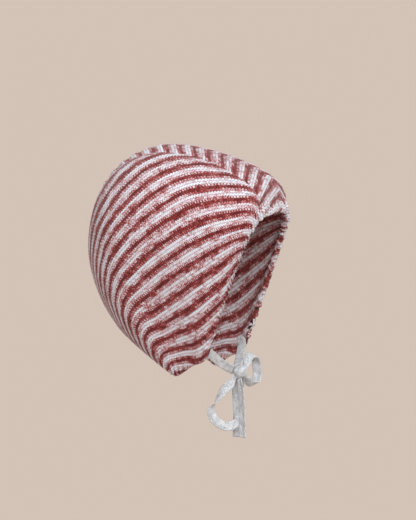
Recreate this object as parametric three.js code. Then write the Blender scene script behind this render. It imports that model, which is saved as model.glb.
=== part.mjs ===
// Knitted baby bonnet: two side panels sewn to a centre band, with tape ties knotted in a bow.
// It keeps the shape that it has on a head. X is the wearer's left, -Y the front, +Z up.
// The origin is the top of the hollow, where the crown of the head meets the knit.
import * as THREE from 'three';
import { mergeVertices } from 'three/addons/utils/BufferGeometryUtils.js';

// Driving sizes of the bonnet, in millimetres
const bonnetDepth = 149; // from the brim to the back, outside
const bonnetHeight = 178; // from the crown to the lower tips, outside
const bonnetWidth = 133; // across at the ears, outside
const bandWidth = 64; // centre band across the brim
const knitWall = 2.3; // one layer of knit
const hemWall = 4.2; // the edge folded inwards and sewn down
const hemWidth = 7; // how far the fold reaches in from an edge
const edgeRound = 1.5; // how far the fold's outside rounds off
const seamGap = 0.35; // between the band and a panel
const seamDip = 0.9; // how deep the seam lies under the knit on both sides
const seamReach = 4; // how far from the seam the knit starts to dip
const gatherPitch = 7.8; // from one pucker of the front edge to the next
const gatherDepth = 1.1; // how far a pucker stands out
const gatherReach = 16; // how far the puckers run in from the edge

// Driving sizes of the ties
const tapeWidth = 7;
const tapeThickness = 1;
const fitGap = 0.3; // between pieces that touch
const knotAhead = 8.4; // ahead of the front corners
const knotBelow = 17.4; // under the front corners
const knotWidth = 10.5;
const knotHeight = 10;
const knotDepth = 11.5;
const strapEndInside = 9; // how far the sewn end reaches in from both edges of the corner
const strapEdgeInside = 1.5; // where the strap leaves the corner, from both edges
const strapSag = 1.6;

// How finely the knit is drawn
const hemStops = [0, 0.11, 0.42, 1, 1.4]; // columns beside an edge, as shares of hemWidth
const seamStops = [0, 0.4, 1, 2]; // rows beside the seam, as shares of seamReach
const panelColumns = 13; // between the stops at the front and at the neck edge
const panelRows = 29; // between the stops at the seam and at the lower edge
const bandColumns = 17;
const bandRows = 7;
const archSteps = 160;
const slicesDrawn = 240;

// The shape on the head. Each row is a slice from the middle line down to the lower edge, listed
// from the brim over the crown to the nape. forward and footForward are shares of bonnetDepth,
// drop and footDrop of bonnetHeight, half and footHalf of bonnetWidth and band of bandWidth.
// level is where the slice is widest, as a share of its way down, and square how square it is on top.
const sliceColumns = [
  'forward', 'drop', 'footForward', 'footDrop', 'half', 'footHalf', 'level', 'square', 'band',
];
const slices = [
  [0.53, 0.289, 0.279, 0.889, 0.376, 0.361, 0.5, 5, 0.5],
  [0.524, 0.222, 0.272, 0.898, 0.394, 0.362, 0.5, 4.6, 0.495],
  [0.503, 0.16, 0.262, 0.909, 0.413, 0.364, 0.49, 3.9, 0.487],
  [0.432, 0.109, 0.25, 0.921, 0.437, 0.366, 0.48, 3, 0.452],
  [0.31, 0.06, 0.235, 0.931, 0.467, 0.367, 0.47, 2.5, 0.385],
  [0.15, 0.02, 0.215, 0.938, 0.491, 0.368, 0.47, 2.3, 0.345],
  [0, 0, 0.195, 0.943, 0.5, 0.369, 0.47, 2.2, 0.335],
  [-0.15, 0.012, 0.178, 0.95, 0.5, 0.37, 0.47, 2.15, 0.32],
  [-0.29, 0.072, 0.16, 0.96, 0.496, 0.371, 0.48, 2.1, 0.28],
  [-0.395, 0.174, 0.145, 0.969, 0.487, 0.372, 0.5, 2.1, 0.235],
  [-0.45, 0.292, 0.132, 0.977, 0.473, 0.373, 0.53, 2.1, 0.205],
  [-0.47, 0.425, 0.12, 0.984, 0.455, 0.374, 0.58, 2.1, 0.19],
  [-0.453, 0.54, 0.11, 0.99, 0.432, 0.375, 0.66, 2.1, 0.18],
  [-0.402, 0.655, 0.1, 0.996, 0.405, 0.376, 0.8, 2.2, 0.172],
  [-0.329, 0.756, 0.094, 1, 0.378, 0.377, 0.95, 2.3, 0.165],
].map((row) => Object.fromEntries(sliceColumns.map((name, index) => [name, row[index]])));

const knitRed = new THREE.MeshStandardMaterial({ color: 0xa8585c, roughness: 0.95, metalness: 0 });
const bandRed = new THREE.MeshStandardMaterial({ color: 0xb06a6c, roughness: 0.95, metalness: 0 });
const tapeGrey = new THREE.MeshStandardMaterial({ color: 0xb4b5b4, roughness: 0.85, metalness: 0 });

// Smooth reading of one column of a table, at a place from 0 to 1 along its rows.
function readColumn(rows, column, place) {
  const at = THREE.MathUtils.clamp(place, 0, 1) * (rows.length - 1);
  const row = Math.min(Math.floor(at), rows.length - 2);
  const share = at - row;
  const here = rows[row][column];
  const next = rows[row + 1][column];
  const before = row > 0 ? rows[row - 1][column] : 2 * here - next;
  const after = row + 2 < rows.length ? rows[row + 2][column] : 2 * next - here;
  const slopeHere = (next - before) / 2;
  const slopeNext = (after - here) / 2;
  const square = share * share;
  const cube = square * share;
  return (
    (2 * cube - 3 * square + 1) * here +
    (cube - 2 * square + share) * slopeHere +
    (3 * square - 2 * cube) * next +
    (cube - square) * slopeNext
  );
}

// How far a slice stands out to the side, as a share of its half width, at a share of its way down.
function archWidth(way, level, square, footShare) {
  if (way < level) {
    return Math.pow(1 - Math.pow((level - way) / level, square), 1 / square);
  }
  const reach = (1 - level) / Math.sqrt(Math.max(1 - footShare * footShare, 1e-6));
  const under = (way - level) / reach;
  return Math.sqrt(Math.max(1 - under * under, 0));
}

// The two ends of a slice, seen from the side.
function sliceEnds(place) {
  const read = (column) => readColumn(slices, column, place);
  const seenAt = (forward, drop) =>
    new THREE.Vector3(0, -forward * bonnetDepth, knitWall - drop * bonnetHeight);
  return {
    top: seenAt(read('forward'), read('drop')),
    foot: seenAt(read('footForward'), read('footDrop')),
  };
}

// One slice as a line of points from the middle line down to the lower edge, on the outside.
function sliceLine(place) {
  const read = (column) => readColumn(slices, column, place);
  const { top, foot } = sliceEnds(place);
  const half = read('half') * bonnetWidth;
  const footShare = Math.min(read('footHalf') / read('half'), 0.9999);
  const level = read('level');
  const square = read('square');
  const line = [];
  for (let step = 0; step <= archSteps; step += 1) {
    const share = step / archSteps;
    const way = share < 0.5 ? Math.pow(2 * share, 3) * 0.5 : 0.5 + (share - 0.5);
    const point = top.clone().lerp(foot, way);
    point.x = half * archWidth(way, level, square, footShare);
    line.push(point);
  }
  return line;
}

// A line of points measured along its length, which gives the point at any length.
function measured(line) {
  const lengths = [0];
  for (let index = 1; index < line.length; index += 1) {
    lengths.push(lengths[index - 1] + line[index].distanceTo(line[index - 1]));
  }
  const total = lengths[lengths.length - 1];
  const pointAt = (length) => {
    const wanted = THREE.MathUtils.clamp(length, 0, total);
    let index = lengths.findIndex((reached) => reached >= wanted);
    index = Math.max(index, 1);
    const span = lengths[index] - lengths[index - 1] || 1;
    return line[index - 1].clone().lerp(line[index], (wanted - lengths[index - 1]) / span);
  };
  return { total, pointAt };
}

// The slices, close together, each with the length from the middle line to the seam.
const sliceCount = slicesDrawn + 1;
const drawnSlices = Array.from({ length: sliceCount }, (_, index) => {
  const place = index / slicesDrawn;
  const line = sliceLine(place);
  const along = measured(line);
  const bandHalf = readColumn(slices, 'band', place) * bandWidth;
  let low = 0;
  let high = along.total;
  for (let halving = 0; halving < 30; halving += 1) {
    const middle = (low + high) / 2;
    if (along.pointAt(middle).x < bandHalf) low = middle;
    else high = middle;
  }
  return { along, seam: low };
});

// A point of the outside between two neighbouring slices, where reach picks a length on each.
function betweenSlices(place, reach) {
  const at = THREE.MathUtils.clamp(place, 0, 1) * slicesDrawn;
  const index = Math.min(Math.floor(at), slicesDrawn - 1);
  const one = drawnSlices[index];
  const two = drawnSlices[index + 1];
  return one.along.pointAt(reach(one)).lerp(two.along.pointAt(reach(two)), at - index);
}

// The left panel's outside: place runs from the front edge to the neck edge, down from the seam.
function onPanel(place, down) {
  return betweenSlices(place, ({ along, seam }) => {
    const start = seam + seamGap / 2;
    return start + (along.total - start) * down;
  });
}

// The band's outside: across runs from -1 at its right seam to 1 at its left one.
function onBand(place, across) {
  const point = betweenSlices(place, ({ seam }) => Math.abs(across) * (seam - seamGap / 2));
  if (across < 0) point.x = -point.x;
  return point;
}

// The outward direction of a surface, from close neighbours.
function outward(surface, place, second) {
  const near = 1.5 / slicesDrawn;
  const ahead = surface(Math.max(place - near, 0), second);
  const behind = surface(Math.min(place + near, 1), second);
  const above = surface(place, Math.max(second - near, -1));
  const below = surface(place, Math.min(second + near, 1));
  return below.sub(above).cross(behind.sub(ahead)).normalize();
}

// Places along one line of a surface at wanted distances from its two ends.
function placesAlong(surface, second, stops, between) {
  const line = [];
  for (let index = 0; index < sliceCount; index += 1) line.push(surface(index / slicesDrawn, second));
  const lengths = [0];
  for (let index = 1; index < line.length; index += 1) {
    lengths.push(lengths[index - 1] + line[index].distanceTo(line[index - 1]));
  }
  const total = lengths[slicesDrawn];
  const wanted = spread(total, stops, stops, between);
  return wanted.map((length) => {
    const index = Math.max(lengths.findIndex((reached) => reached >= length - 1e-9), 1);
    const span = lengths[index] - lengths[index - 1] || 1;
    const place = (index - 1 + (length - lengths[index - 1]) / span) / slicesDrawn;
    return { place, fromFront: length, fromNeck: total - length };
  });
}

// Lengths from 0 to total, with given stops at both ends and even steps between them.
function spread(total, startStops, endStops, between) {
  const first = startStops[startStops.length - 1];
  const last = total - endStops[endStops.length - 1];
  const lengths = [...startStops];
  for (let step = 1; step < between; step += 1) lengths.push(first + ((last - first) * step) / between);
  return [...lengths, ...endStops.map((stop) => total - stop).reverse()];
}

// How a fold at an open edge rounds the knit off, at a distance from that edge.
function roundedBy(distance) {
  const left = Math.max(1 - distance / (hemWidth * hemStops[2]), 0);
  return edgeRound * left * left;
}

// The wall's thickness at a distance from the nearest open edge.
function wallAt(distance) {
  const share = THREE.MathUtils.smoothstep(distance, hemWidth, hemWidth * hemStops[4]);
  return THREE.MathUtils.lerp(hemWall, knitWall, share);
}

// How far the outside leaves the smooth shape: the dip at a seam and the puckers of the front edge.
function relief(fromSeam, fromFront, pucker) {
  const dip = seamDip * Math.exp(-Math.pow(fromSeam / seamReach, 2));
  const fade = 1 - THREE.MathUtils.smoothstep(fromFront, 0, gatherReach);
  return gatherDepth * fade * 0.5 * (Math.cos(2 * Math.PI * pucker) - 1) - dip;
}

// A closed wall from two grids of points that face each other, outside and inside.
function closedWall(outside, inside) {
  const columns = outside.length;
  const rows = outside[0].length;
  const points = [...outside.flat(), ...inside.flat()];
  const outer = (column, row) => column * rows + row;
  const inner = (column, row) => columns * rows + column * rows + row;
  const faces = [];
  const quad = (a, b, c, d) => faces.push(a, b, c, a, c, d);
  for (let column = 0; column < columns - 1; column += 1) {
    for (let row = 0; row < rows - 1; row += 1) {
      quad(outer(column, row), outer(column, row + 1), outer(column + 1, row + 1), outer(column + 1, row));
      quad(inner(column, row), inner(column + 1, row), inner(column + 1, row + 1), inner(column, row + 1));
    }
  }
  for (let column = 0; column < columns - 1; column += 1) {
    quad(outer(column, 0), outer(column + 1, 0), inner(column + 1, 0), inner(column, 0));
    const end = rows - 1;
    quad(outer(column, end), inner(column, end), inner(column + 1, end), outer(column + 1, end));
  }
  for (let row = 0; row < rows - 1; row += 1) {
    quad(outer(0, row), inner(0, row), inner(0, row + 1), outer(0, row + 1));
    const end = columns - 1;
    quad(outer(end, row), outer(end, row + 1), inner(end, row + 1), inner(end, row));
  }
  return solid(points, faces);
}

// A geometry from points and faces, turned to face outwards.
function solid(points, faces) {
  let volume = 0;
  for (let index = 0; index < faces.length; index += 3) {
    const [a, b, c] = [points[faces[index]], points[faces[index + 1]], points[faces[index + 2]]];
    volume += a.dot(b.clone().cross(c));
  }
  const turned = volume < 0 ? faces.slice().reverse() : faces;
  const geometry = new THREE.BufferGeometry().setFromPoints(points);
  geometry.setIndex(turned);
  const closed = mergeVertices(geometry, 1e-4);
  closed.computeVertexNormals();
  return closed;
}

function named(name, geometry, material) {
  const mesh = new THREE.Mesh(geometry, material);
  mesh.name = name;
  return mesh;
}

// The two side panels
function sidePanel(side) {
  const hem = hemStops.map((share) => share * hemWidth);
  const seam = seamStops.map((share) => share * seamReach);
  const frontLength = measured(Array.from({ length: 60 }, (_, index) => onPanel(0, index / 59))).total;
  const puckers = Math.round(frontLength / gatherPitch);
  const middle = drawnSlices[Math.round(slicesDrawn / 2)];
  const rowShares = spread(middle.along.total - middle.seam, seam, hem, panelRows);
  const outside = [];
  const inside = [];
  const rowCount = rowShares.length;
  const rows = Array.from({ length: rowCount }, (_, row) => row);
  const columnPlaces = rowShares.map((reach) => {
    return placesAlong(onPanel, reach / rowShares[rowCount - 1], hem, panelColumns);
  });
  for (let column = 0; column < columnPlaces[0].length; column += 1) {
    const outer = [];
    const inner = [];
    rows.forEach((row) => {
      const { place, fromFront, fromNeck } = columnPlaces[row][column];
      const length = sliceLength(place);
      const reach = spread(length, seam, hem, panelRows)[row];
      const down = reach / length;
      const point = onPanel(place, down);
      const normal = outward(onPanel, place, down);
      const edge = Math.min(fromFront, fromNeck, length - reach);
      const lift = relief(reach, fromFront, puckers * down) - roundedBy(edge);
      const wall = wallAt(edge) - 2 * roundedBy(edge);
      outer.push(point.clone().addScaledVector(normal, lift));
      inner.push(point.clone().addScaledVector(normal, lift - wall));
    });
    outside.push(outer);
    inside.push(inner);
  }
  const mirror = (point) => point.setX(point.x * side);
  outside.flat().forEach(mirror);
  inside.flat().forEach(mirror);
  return closedWall(outside, inside);
}

// The length of a slice from the seam down to the lower edge.
function sliceLength(place) {
  const at = THREE.MathUtils.clamp(place, 0, 1) * slicesDrawn;
  const index = Math.min(Math.floor(at), slicesDrawn - 1);
  const lengthOf = ({ along, seam }) => along.total - seam - seamGap / 2;
  const [one, two] = [drawnSlices[index], drawnSlices[index + 1]];
  return THREE.MathUtils.lerp(lengthOf(one), lengthOf(two), at - index);
}

// The centre band
function centreBand() {
  const hem = hemStops.map((share) => share * hemWidth);
  const puckers = Math.round(bandWidth / gatherPitch);
  const outside = [];
  const inside = [];
  const brimSeam = drawnSlices[0].seam;
  const seam = seamStops.map((share) => (share * seamReach) / brimSeam);
  const halves = spread(1, seam, [0], bandRows).map((share) => 1 - share);
  const across = [...halves.map((share) => -share), ...halves.slice(0, -1).reverse()];
  const columnPlaces = across.map((share) => placesAlong(onBand, share, hem, bandColumns));
  for (let column = 0; column < columnPlaces[0].length; column += 1) {
    const outer = [];
    const inner = [];
    across.forEach((share, row) => {
      const { place, fromFront, fromNeck } = columnPlaces[row][column];
      const half = Math.abs(onBand(place, 1).x);
      const point = onBand(place, share);
      const normal = outward(onBand, place, share);
      const edge = Math.min(fromFront, fromNeck);
      const fromSeam = (1 - Math.abs(share)) * half;
      const lift = relief(fromSeam, fromFront, (puckers * share) / 2) - roundedBy(edge);
      const wall = wallAt(edge) - 2 * roundedBy(edge);
      outer.push(point.clone().addScaledVector(normal, lift));
      inner.push(point.clone().addScaledVector(normal, lift - wall));
    });
    outside.push(outer);
    inside.push(inner);
  }
  return closedWall(outside, inside);
}

// The ties. A route is a list of points from the middle of the knot, and the way the tape's width
// lies at each: right is the wearer's left, forward the front.
const frontCorner = sliceEnds(0).foot;
const knotMiddle = new THREE.Vector3(0, frontCorner.y - knotAhead, frontCorner.z - knotBelow);

const strapRight = { meets: [-4, -4.8, 1.9], hanging: [0.2, 0.45, 0.87] };
const strapLeft = { meets: [2.4, -2.6, 4.9], hanging: [0.1, 0.9, 0.3] };

const longLoop = [
  { at: [-4.2, -4.4, -4], width: [0.21, 0.8, -0.56] },
  { at: [-5.6, -5.4, -6.6], width: [0.21, 0.8, -0.56] },
  { at: [-7, -6.8, -10.2], width: [0.21, 0.8, -0.56] },
  { at: [-8.6, -9.6, -13.6], width: [0.1, 0.82, -0.52] },
  { at: [-9.6, -13.3, -18.9], width: [-0.6, 0.75, -0.29] },
  { at: [-10, -17.4, -24.5], width: [-0.95, 0.31, 0.09] },
  { at: [-10.5, -19.6, -30], width: [-0.73, -0.67, 0.13] },
  { at: [-10.5, -18.4, -35.6], width: [-0.32, -0.86, -0.4] },
  { at: [-10, -14.4, -40.2], width: [-0.25, -0.55, -0.75] },
  { at: [-8, -8.6, -42.7], width: [-0.08, 0.03, -1] },
  { at: [-4, -3.8, -41.7], width: [0.03, 0.35, -0.94] },
  { at: [0.4, -1.4, -38.8], width: [0.23, 0.84, -0.5] },
  { at: [2.9, -2, -34.6], width: [0.31, 0.95, 0] },
  { at: [3.8, -3.2, -29], width: [0.31, 0.95, 0] },
  { at: [3.6, -3.6, -20], width: [0.31, 0.95, 0] },
  { at: [2.8, -3.8, -12.5], width: [0.31, 0.95, 0] },
  { at: [1.2, -2.8, -5.8], width: [0.31, 0.95, 0] },
];

const shortLoop = [
  { at: [5.2, 2, 1.2], width: [-0.28, 0.96, 0] },
  { at: [9, 2.6, 6], width: [-0.2, 0.98, 0.1] },
  { at: [14, 3, 10.4], width: [-0.1, 0.98, 0.15] },
  { at: [20, 3.8, 11.6], width: [-0.1, 0.98, 0.15] },
  { at: [24.6, 5, 8], width: [-0.2, 0.98, 0] },
  { at: [26.4, 5.8, 1.5], width: [-0.28, 0.96, 0] },
  { at: [26, 6.4, -5.5], width: [-0.28, 0.96, -0.1] },
  { at: [22, 6.2, -10.8], width: [-0.28, 0.96, -0.1] },
  { at: [15, 4.2, -10.6], width: [-0.28, 0.96, 0] },
  { at: [9.4, 2.4, -6.6], width: [-0.28, 0.96, 0] },
  { at: [5.2, 1.6, -2.4], width: [-0.28, 0.96, 0] },
];

const nearTail = [
  { at: [-2.4, 1.8, -5.2], width: [-0.57, 0.82, 0.07] },
  { at: [-3.4, 3, -13], width: [-0.57, 0.82, 0.07] },
  { at: [-4, 3.7, -24], width: [-0.57, 0.82, 0.07] },
  { at: [-4, 3.9, -36], width: [-0.57, 0.82, 0.07] },
  { at: [-3.6, 3.3, -45], width: [-0.4, 0.9, 0.04] },
  { at: [-3, 2.6, -51.4], width: [-0.2, 0.98, 0] },
];

const farTail = [
  { at: [3.4, 0.6, -4.9], width: [0.31, 0.95, 0] },
  { at: [6.4, -2, -12], width: [0.31, 0.95, 0] },
  { at: [8, -3.6, -23], width: [0.31, 0.95, 0] },
  { at: [8.2, -4.4, -36], width: [0.31, 0.95, 0] },
  { at: [7.6, -4.6, -45], width: [0.31, 0.95, 0] },
  { at: [7, -4.6, -52], width: [0.31, 0.95, 0] },
];

const mirrored = (point, side) => new THREE.Vector3(point.x * side, point.y, point.z);
const vector = ([right, forward, up]) => new THREE.Vector3(right, -forward, up);
const fromKnot = (route) =>
  route.map(({ at, width }) => ({ at: vector(at).add(knotMiddle), width: vector(width) }));

// A flat tape along a smooth route through the given points.
function tape(route, stepsBetween) {
  const path = new THREE.CatmullRomCurve3(route.map(({ at }) => at), false, 'centripetal');
  const steps = (route.length - 1) * stepsBetween;
  const points = [];
  for (let step = 0; step <= steps; step += 1) {
    const share = step / steps;
    const middle = path.getPoint(share);
    const direction = path.getTangent(share);
    const at = share * (route.length - 1);
    const index = Math.min(Math.floor(at), route.length - 2);
    const width = route[index].width.clone().lerp(route[index + 1].width, at - index);
    width.addScaledVector(direction, -width.dot(direction)).normalize();
    const face = direction.clone().cross(width);
    [[1, 1], [-1, 1], [-1, -1], [1, -1]].forEach(([across, through]) => {
      points.push(
        middle
          .clone()
          .addScaledVector(width, (across * tapeWidth) / 2)
          .addScaledVector(face, (through * tapeThickness) / 2),
      );
    });
  }
  const faces = [0, 1, 2, 0, 2, 3];
  const end = steps * 4;
  faces.push(end, end + 2, end + 1, end, end + 3, end + 2);
  for (let step = 0; step < steps; step += 1) {
    for (let corner = 0; corner < 4; corner += 1) {
      const one = step * 4 + corner;
      const two = step * 4 + ((corner + 1) % 4);
      faces.push(one, one + 4, two + 4, one, two + 4, two);
    }
  }
  return solid(points, faces);
}

// The strap from inside a front corner to the knot: where it meets the knot, from the knot's middle,
// and the way its width lies between them.
function strap(side, { meets, hanging }) {
  const lieIn = hemWall + gatherDepth + fitGap + tapeThickness / 2;
  const inCorner = (inwards) => {
    const { place } = placesAlong(onPanel, 1, [0, inwards], 2)[1];
    const down = 1 - inwards / sliceLength(place);
    const normal = outward(onPanel, place, down);
    return { normal, at: onPanel(place, down).addScaledVector(normal, -lieIn) };
  };
  const deep = inCorner(strapEndInside);
  const edge = inCorner(strapEdgeInside);
  const alongHem = edge.at.clone().sub(deep.at);
  const inHem = alongHem.cross(deep.normal).normalize();
  if (inHem.z < 0) inHem.negate();
  const knotSide = vector(meets).add(knotMiddle);
  const width = vector(hanging);
  const corner = mirrored(edge.at, side);
  const sagging = (share, sag) => {
    const point = corner.clone().lerp(knotSide, share);
    return point.setZ(point.z - sag);
  };
  return tape(
    [
      { at: mirrored(deep.at, side), width: mirrored(inHem, side) },
      { at: mirrored(deep.at.clone().lerp(edge.at, 0.5), side), width: mirrored(inHem, side) },
      { at: corner, width: mirrored(inHem, side).lerp(width, 0.3) },
      { at: sagging(0.14, strapSag / 2), width },
      { at: sagging(0.55, strapSag), width },
      { at: knotSide, width },
    ],
    4,
  );
}

// The knot, a rounded lump with the tape wrapped once round it.
function bowKnot() {
  const lump = new THREE.SphereGeometry(1, 24, 14);
  const position = lump.getAttribute('position');
  for (let index = 0; index < position.count; index += 1) {
    const point = new THREE.Vector3().fromBufferAttribute(position, index);
    const wrap = 1 - 0.12 * Math.pow(Math.abs(point.x), 2) + 0.05 * Math.cos(6 * point.x);
    const forward = (point.z * wrap * knotDepth) / 2;
    const up = (point.y * wrap * knotHeight) / 2;
    position.setXYZ(index, (point.x * knotWidth) / 2, forward, up);
  }
  lump.deleteAttribute('normal');
  lump.deleteAttribute('uv');
  const closed = mergeVertices(lump, 1e-4);
  const points = [];
  const merged = closed.getAttribute('position');
  for (let index = 0; index < merged.count; index += 1) {
    points.push(new THREE.Vector3().fromBufferAttribute(merged, index).add(knotMiddle));
  }
  return solid(points, Array.from(closed.index.array));
}

const bonnet = new THREE.Group();
bonnet.add(named('centre_band', centreBand(), bandRed));
bonnet.add(named('side_panel_right', sidePanel(-1), knitRed));
bonnet.add(named('side_panel_left', sidePanel(1), knitRed));
bonnet.add(named('tie_strap_right', strap(-1, strapRight), tapeGrey));
bonnet.add(named('tie_strap_left', strap(1, strapLeft), tapeGrey));
bonnet.add(named('bow_knot', bowKnot(), tapeGrey));
bonnet.add(named('bow_loop_right', tape(fromKnot(longLoop), 3), tapeGrey));
bonnet.add(named('bow_loop_left', tape(fromKnot(shortLoop), 3), tapeGrey));
bonnet.add(named('tie_tail_right', tape(fromKnot(nearTail), 3), tapeGrey));
bonnet.add(named('tie_tail_left', tape(fromKnot(farTail), 3), tapeGrey));

export default bonnet;
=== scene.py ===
import math

import bmesh
import bpy
import numpy as np
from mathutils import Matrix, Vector


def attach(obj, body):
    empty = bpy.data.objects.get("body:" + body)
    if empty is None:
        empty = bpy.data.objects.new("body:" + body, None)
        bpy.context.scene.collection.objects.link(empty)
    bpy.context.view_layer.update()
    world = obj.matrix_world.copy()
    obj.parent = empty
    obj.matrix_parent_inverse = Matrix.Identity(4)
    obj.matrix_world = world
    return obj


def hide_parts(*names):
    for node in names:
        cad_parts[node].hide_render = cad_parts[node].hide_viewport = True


# A knitted baby bonnet with tape ties, in the form it has when worn. Metres, +Z up, -Y the front,
# +X the wearer's left. The origin is the top of the hollow inside, on the middle line.
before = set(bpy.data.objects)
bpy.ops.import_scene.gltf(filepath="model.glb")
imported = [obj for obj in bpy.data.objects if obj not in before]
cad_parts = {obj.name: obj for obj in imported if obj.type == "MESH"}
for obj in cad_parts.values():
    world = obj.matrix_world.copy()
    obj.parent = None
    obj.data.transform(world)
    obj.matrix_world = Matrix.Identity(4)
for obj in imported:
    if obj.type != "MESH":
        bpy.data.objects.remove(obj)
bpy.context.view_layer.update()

# The camera at the photograph's angle. centre is the point in the middle of the picture.
cameraSet = {
    "azimuth": -72.0,
    "elevation": 5.0,
    "tallSide": 0.4056,  # what the picture's height shows
    "centre": (0.0, -0.0238, -0.0868),
    "distance": 1.5,
    "clip": (0.01, 60.0),
}


def makeCamera():
    azimuth = math.radians(cameraSet["azimuth"])
    elevation = math.radians(cameraSet["elevation"])
    level = math.cos(elevation)
    back = Vector((math.sin(azimuth) * level, -math.cos(azimuth) * level, math.sin(elevation)))
    data = bpy.data.cameras.new("camera")
    data.type = "ORTHO"
    data.ortho_scale = cameraSet["tallSide"]
    data.clip_start, data.clip_end = cameraSet["clip"]
    camera = bpy.data.objects.new("camera", data)
    camera.location = Vector(cameraSet["centre"]) + back * cameraSet["distance"]
    camera.rotation_mode = "QUATERNION"
    camera.rotation_quaternion = (-back).to_track_quat("-Z", "Y")
    bpy.context.scene.collection.objects.link(camera)
    bpy.context.scene.camera = camera


makeCamera()
print("camera made")

# The bonnet's sizes in metres
shape = {
    "depth": 0.149,  # from the brim to the back
    "height": 0.178,  # from the crown to the lower tips
    "width": 0.133,  # across at the ears
    "bandWidth": 0.064,
    "knitWall": 0.0023,
    "hemWall": 0.0042,  # the edge folded inwards
    "hemWidth": 0.007,
    "hemEnd": 1.4,  # where the wall is thin again, in hem widths
    "hemRound": 0.00294,  # how far in the fold's outside rounds off
    "edgeRound": 0.0015,
    "seamGap": 0.00035,
    "seamDip": 0.0009,
    "seamReach": 0.004,
    "gatherPitch": 0.0078,  # puckers of the front edge
    "gatherDepth": 0.0011,
    "gatherReach": 0.016,
}

# The shape when worn. Each row is a slice from the middle line down to the lower edge, from the
# brim over the crown to the nape. forward and footForward are shares of depth, drop and footDrop of
# height, half and footHalf of width and band of bandWidth. level is where the slice is widest, as a
# share of its way down, and square how square it is on top.
sliceColumns = "forward drop footForward footDrop half footHalf level square band".split()
sliceRows = [
    (0.53, 0.289, 0.279, 0.889, 0.385, 0.361, 0.5, 3.6, 0.5),
    (0.526, 0.222, 0.272, 0.898, 0.402, 0.362, 0.5, 3.3, 0.495),
    (0.505, 0.158, 0.262, 0.909, 0.418, 0.364, 0.49, 2.95, 0.487),
    (0.432, 0.107, 0.25, 0.921, 0.44, 0.366, 0.48, 2.6, 0.452),
    (0.31, 0.059, 0.235, 0.931, 0.467, 0.367, 0.47, 2.35, 0.385),
    (0.15, 0.02, 0.215, 0.938, 0.491, 0.368, 0.47, 2.3, 0.345),
    (0, 0, 0.195, 0.943, 0.5, 0.369, 0.47, 2.2, 0.335),
    (-0.15, 0.012, 0.178, 0.95, 0.5, 0.37, 0.47, 2.15, 0.32),
    (-0.29, 0.072, 0.16, 0.96, 0.496, 0.371, 0.48, 2.1, 0.28),
    (-0.395, 0.174, 0.145, 0.969, 0.487, 0.372, 0.5, 2.1, 0.235),
    (-0.45, 0.292, 0.132, 0.977, 0.473, 0.373, 0.53, 2.1, 0.205),
    (-0.47, 0.425, 0.12, 0.984, 0.455, 0.374, 0.58, 2.1, 0.19),
    (-0.453, 0.54, 0.11, 0.99, 0.432, 0.375, 0.66, 2.1, 0.18),
    (-0.402, 0.655, 0.1, 0.996, 0.405, 0.376, 0.8, 2.2, 0.172),
    (-0.329, 0.756, 0.094, 1, 0.378, 0.377, 0.95, 2.3, 0.165),
]
gridSize = 161  # points along each way of a surface


def cubicShares(at, count):
    place = np.clip(at, 0, 1) * (count - 1)
    cell = np.minimum(place.astype(int), count - 2)
    t = place - cell
    shares = np.stack([
        -0.5 * t + t * t - 0.5 * t**3,
        1 - 2.5 * t * t + 1.5 * t**3,
        0.5 * t + 2 * t * t - 1.5 * t**3,
        -0.5 * t * t + 0.5 * t**3,
    ])
    return cell, shares


# A grid with one more row and column on each side, carried straight on.
def padded(grid):
    grid = np.concatenate([2 * grid[:1] - grid[1:2], grid, 2 * grid[-1:] - grid[-2:-1]], axis=0)
    start, end = grid[:, :1], grid[:, -1:]
    return np.concatenate([2 * start - grid[:, 1:2], grid, 2 * end - grid[:, -2:-1]], axis=1)


# How a grid changes from one entry to the next along its two ways.
def changesOf(grid):
    wide = padded(grid)
    first = (wide[2:, 1:-1] - wide[:-2, 1:-1]) / 2
    second = (wide[1:-1, 2:] - wide[1:-1, :-2]) / 2
    return first, second


# Smooth values between the entries of a grid, at places from 0 to 1 along its rows and columns.
def smoothSample(grid, first, second):
    first, second = np.broadcast_arrays(np.asarray(first, float), np.asarray(second, float))
    wide = padded(grid)
    cellOne, sharesOne = cubicShares(first, grid.shape[0])
    cellTwo, sharesTwo = cubicShares(second, grid.shape[1])
    more = (...,) + (None,) * (grid.ndim - 2)
    total = 0
    for one in range(4):
        for two in range(4):
            share = (sharesOne[one] * sharesTwo[two])[more]
            total = total + share * wide[cellOne + one, cellTwo + two]
    return total


def sliceValues(place):
    table = np.array(sliceRows, float)
    columns = np.arange(len(sliceColumns)) / (len(sliceColumns) - 1)
    values = smoothSample(table, place, columns)
    return dict(zip(sliceColumns, values))


# The lengths up to each point of a line, or of all the lines along one way of a grid.
def lengthsAlong(points, way=0):
    steps = np.linalg.norm(np.diff(points, axis=way), axis=-1)
    return np.insert(np.cumsum(steps, axis=way), 0, 0, axis=way)


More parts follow.
